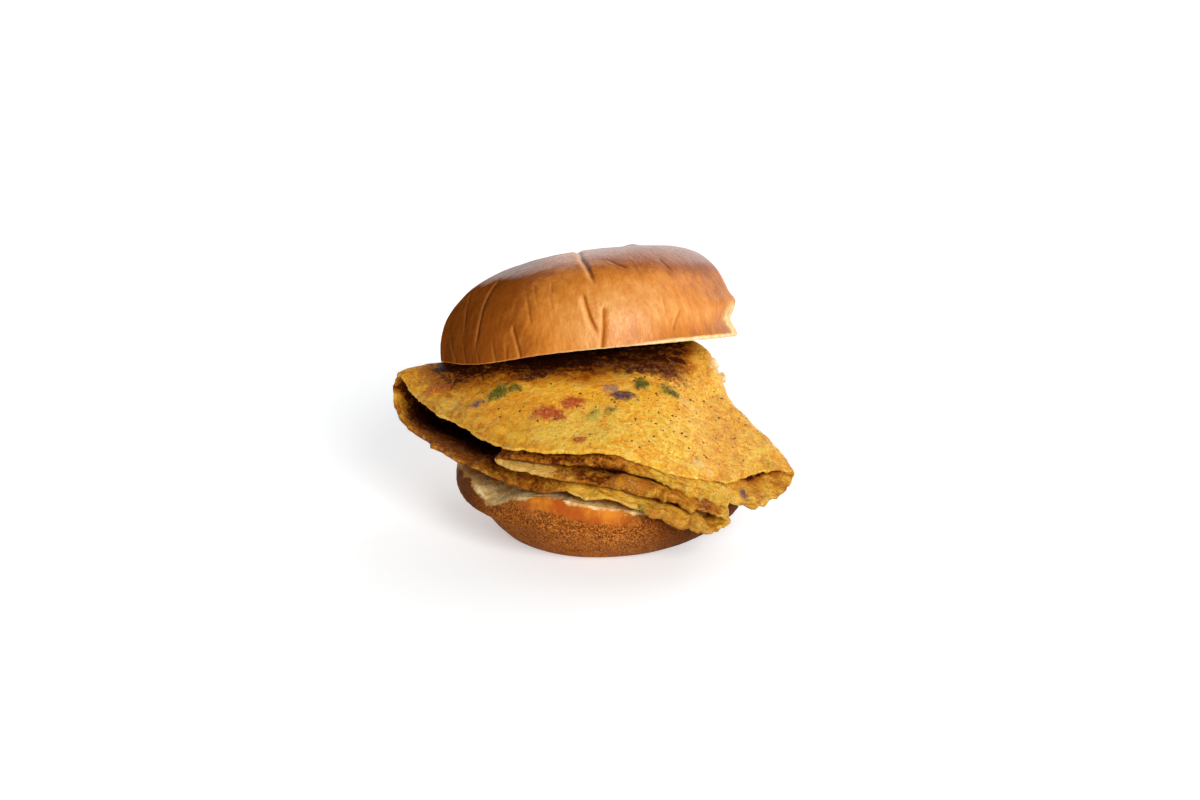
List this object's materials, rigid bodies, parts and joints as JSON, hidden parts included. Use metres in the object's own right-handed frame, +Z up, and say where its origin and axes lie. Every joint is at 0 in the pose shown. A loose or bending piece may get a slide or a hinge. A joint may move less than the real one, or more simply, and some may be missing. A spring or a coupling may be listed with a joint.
{
  "type": "breakfast sandwich",
  "caption": "Soft round bun split in two halves round a thin vegetable omelette folded in quarters, whose layered front edge and pocketed corners reach past the bun.",
  "frame": {"origin": "middle of the flat foot of the bun heel, on the surface that it rests on", "axes": "+Z up, +Y away from the open front where the omelette's layers end, +X to the right seen from that front, towards the omelette's large right corner"},
  "size_m": [0.1407, 0.1149, 0.1033],
  "materials": {
    "crown_crust": "smooth baked golden brown crust with a soft sheen, fine wrinkles and folds, pale cream where it was pulled apart",
    "heel_crust": "matte porous brown base crust, glossier orange band under the cut, pale grey and cream crumb on the cut face",
    "omelette": "moist cooked egg, yellow with orange and pale mottling, pieces of red and green pepper and purple onion, specks of black pepper, browned flaky edges"
  },
  "bodies": {
    "root": {"bun_crown": "crown_crust", "bun_heel": "heel_crust", "omelette": "omelette"}
  },
  "joints": []
}
